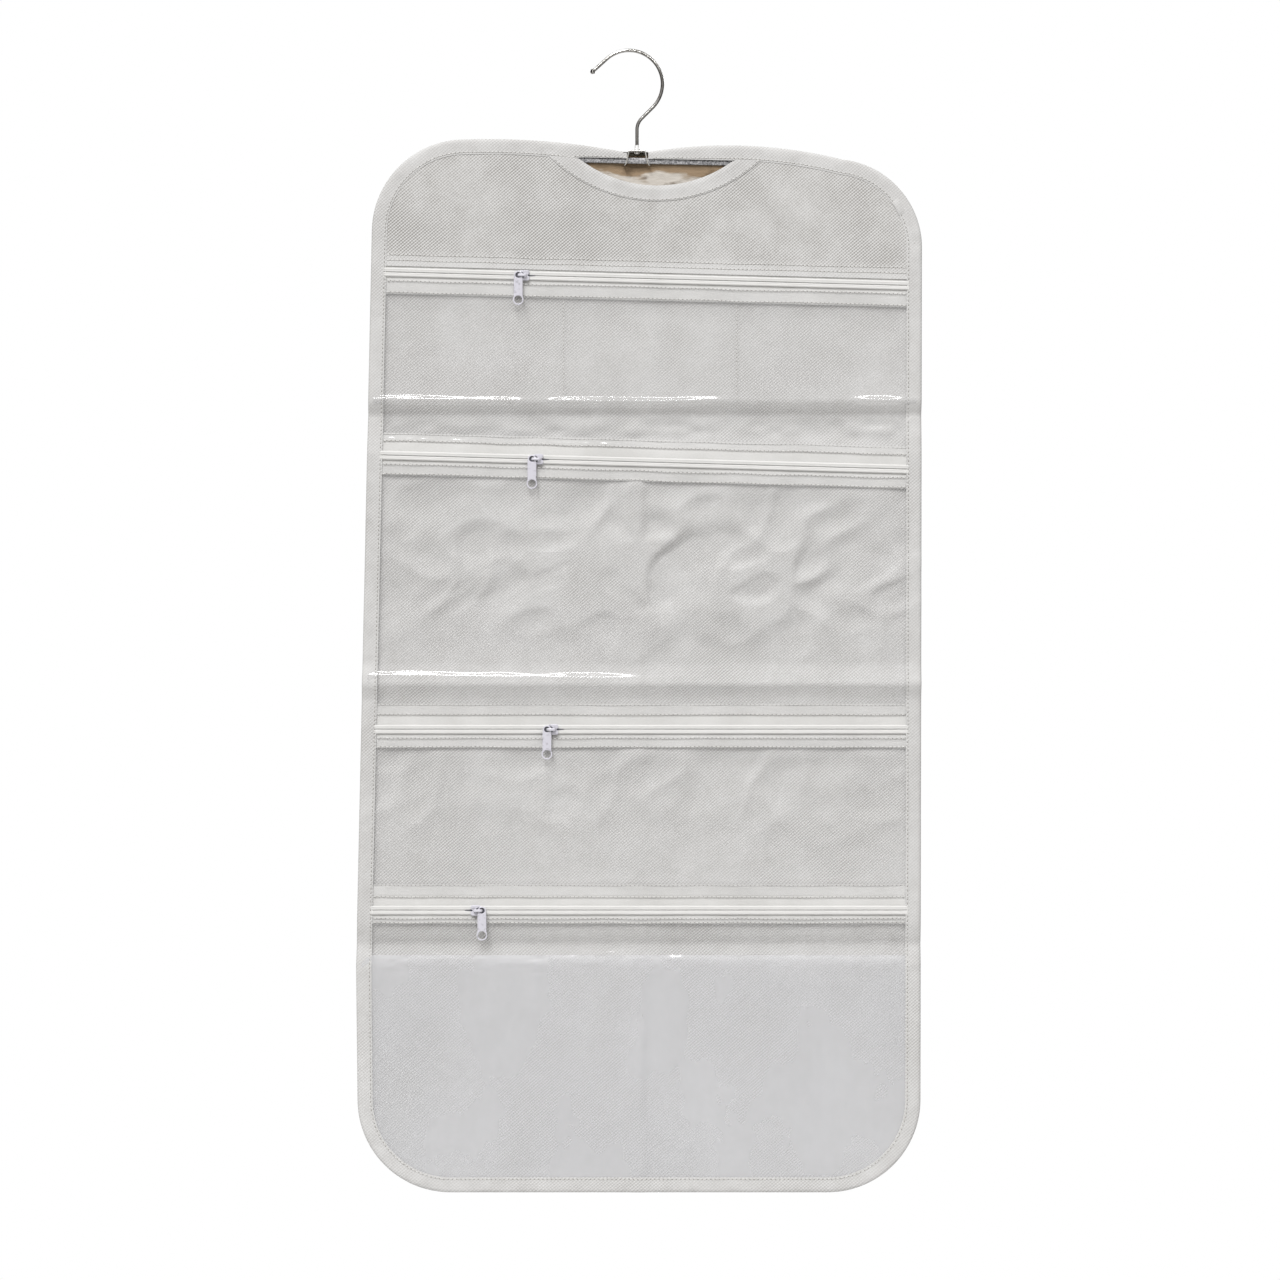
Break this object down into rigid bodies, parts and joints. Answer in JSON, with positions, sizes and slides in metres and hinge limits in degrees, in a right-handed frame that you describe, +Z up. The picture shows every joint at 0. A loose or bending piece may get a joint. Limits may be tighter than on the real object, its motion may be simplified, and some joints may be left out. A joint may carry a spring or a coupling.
{
  "type": "hanging jewelry organizer",
  "caption": "Flat hanging organizer that folds like an accordion: wire hook and bar, cloth panels with bound edges, clear zipped pockets.",
  "frame": {"origin": "inside of the hook's crown, where a closet rod touches it", "axes": "+Z up along the stem, -Y is the front with the pockets, +X is to the right seen from the front"},
  "size_m": [0.396, 0.01, 0.8004],
  "materials": {
    "panel_cloth": "light grey-white embossed nonwoven",
    "binding_cloth": "off-white folded nonwoven tape",
    "clear_vinyl": "clear soft sheet",
    "zip_tape": "off-white woven tape",
    "zip_coil": "moulded coil",
    "zip_metal": "pale lilac-white enamel",
    "chrome_wire": "bright drawn wire",
    "collar_metal": "white",
    "bracket_steel": "bright stamped strip",
    "bar_steel": "galvanised"
  },
  "bodies": {
    "hook": {"hook_wire": "chrome_wire", "stem_collar": "collar_metal", "stem_head": "chrome_wire"},
    "header": {"swivel_bracket": "bracket_steel", "hanger_bar": "bar_steel", "header_front_panel": "panel_cloth", "cutout_binding": "binding_cloth", "back_panel_a": "panel_cloth", "edge_binding_a": "binding_cloth", "pocket_1_window": "clear_vinyl", "pocket_1_dividers": "panel_cloth", "zipper_1_tape_upper": "zip_tape", "zipper_1_tape_lower": "zip_tape", "zipper_1_coil_upper": "zip_coil", "zipper_1_coil_lower": "zip_coil"},
    "fold_1_spine": {"fold_1_back_strip": "panel_cloth", "fold_1_window_strip": "clear_vinyl", "fold_1_binding": "binding_cloth"},
    "upper_panel": {"back_panel_b": "panel_cloth", "edge_binding_b": "binding_cloth", "pocket_1_window_hem": "clear_vinyl", "zipper_2_tape_upper": "zip_tape", "zipper_2_tape_lower": "zip_tape", "zipper_2_coil_upper": "zip_coil", "zipper_2_coil_lower": "zip_coil", "pocket_2_window": "clear_vinyl"},
    "lower_panel": {"back_panel_c": "panel_cloth", "edge_binding_c": "binding_cloth", "pocket_2_window_hem": "clear_vinyl", "zipper_3_tape_upper": "zip_tape", "zipper_3_tape_lower": "zip_tape", "zipper_3_coil_upper": "zip_coil", "zipper_3_coil_lower": "zip_coil", "pocket_3_window": "clear_vinyl", "zipper_4_tape_upper": "zip_tape", "zipper_4_tape_lower": "zip_tape", "zipper_4_coil_upper": "zip_coil", "zipper_4_coil_lower": "zip_coil", "pocket_4_window_head": "clear_vinyl"},
    "fold_3_spine": {"fold_3_back_strip": "panel_cloth", "fold_3_window_strip": "clear_vinyl", "fold_3_binding": "binding_cloth"},
    "bottom_panel": {"back_panel_d": "panel_cloth", "edge_binding_d": "binding_cloth", "pocket_4_window": "clear_vinyl"},
    "slider_1": {"zipper_1_slider": "zip_metal"},
    "pull_1": {"zipper_1_pull": "zip_metal"},
    "slider_2": {"zipper_2_slider": "zip_metal"},
    "pull_2": {"zipper_2_pull": "zip_metal"},
    "slider_3": {"zipper_3_slider": "zip_metal"},
    "pull_3": {"zipper_3_pull": "zip_metal"},
    "slider_4": {"zipper_4_slider": "zip_metal"},
    "pull_4": {"zipper_4_pull": "zip_metal"}
  },
  "joints": [
    {"name": "hook_swivel", "type": "hinge", "parent": "hook", "child": "header", "pos_m": [0.0056, 0, -0.07], "axis": [0, 0, 1], "continuous": true},
    {"name": "fold_1", "type": "hinge", "parent": "header", "child": "fold_1_spine", "pos_m": [0.008, 0, -0.2495], "axis": [-1, 0, 0], "range_deg": [0, 90]},
    {"name": "fold_1_lower", "type": "hinge", "parent": "fold_1_spine", "child": "upper_panel", "pos_m": [0.008, 0, -0.2615], "axis": [-1, 0, 0], "range_deg": [0, 90]},
    {"name": "fold_2", "type": "hinge", "parent": "upper_panel", "child": "lower_panel", "pos_m": [0.008, 0.0029, -0.4423], "axis": [1, 0, 0], "range_deg": [0, 180]},
    {"name": "fold_3", "type": "hinge", "parent": "lower_panel", "child": "fold_3_spine", "pos_m": [0.008, 0, -0.6255], "axis": [-1, 0, 0], "range_deg": [0, 90]},
    {"name": "fold_3_lower", "type": "hinge", "parent": "fold_3_spine", "child": "bottom_panel", "pos_m": [0.008, 0, -0.6385], "axis": [-1, 0, 0], "range_deg": [0, 90]},
    {"name": "zip_1_travel", "type": "slide", "parent": "header", "child": "slider_1", "axis": [0.9997, 0, -0.0262], "range_m": [-0.0894, 0.2626]},
    {"name": "zip_2_travel", "type": "slide", "parent": "upper_panel", "child": "slider_2", "axis": [0.9996, 0, -0.027], "range_m": [-0.102, 0.253]},
    {"name": "zip_3_travel", "type": "slide", "parent": "lower_panel", "child": "slider_3", "axis": [1, 0, 0], "range_m": [-0.1165, 0.2425]},
    {"name": "zip_4_travel", "type": "slide", "parent": "lower_panel", "child": "slider_4", "axis": [1, 0, 0], "range_m": [-0.0685, 0.2935]},
    {"name": "pull_1_swing", "type": "hinge", "parent": "slider_1", "child": "pull_1", "pos_m": [-0.07737, 0, -0.15656], "axis": [0, 1, 0], "range_deg": [-45, 90]},
    {"name": "pull_2_swing", "type": "hinge", "parent": "slider_2", "child": "pull_2", "pos_m": [-0.06777, 0, -0.28505], "axis": [0, 1, 0], "range_deg": [-45, 90]},
    {"name": "pull_3_swing", "type": "hinge", "parent": "slider_3", "child": "pull_3", "pos_m": [-0.0573, 0, -0.474], "axis": [0, 1, 0], "range_deg": [-45, 90]},
    {"name": "pull_4_swing", "type": "hinge", "parent": "slider_4", "child": "pull_4", "pos_m": [-0.1027, 0, -0.6005], "axis": [0, 1, 0], "range_deg": [-90, 45]}
  ],
  "couplings": [
    {"joint": "fold_1_lower", "follows": "fold_1", "ratio": 1},
    {"joint": "fold_3_lower", "follows": "fold_3", "ratio": 1}
  ]
}
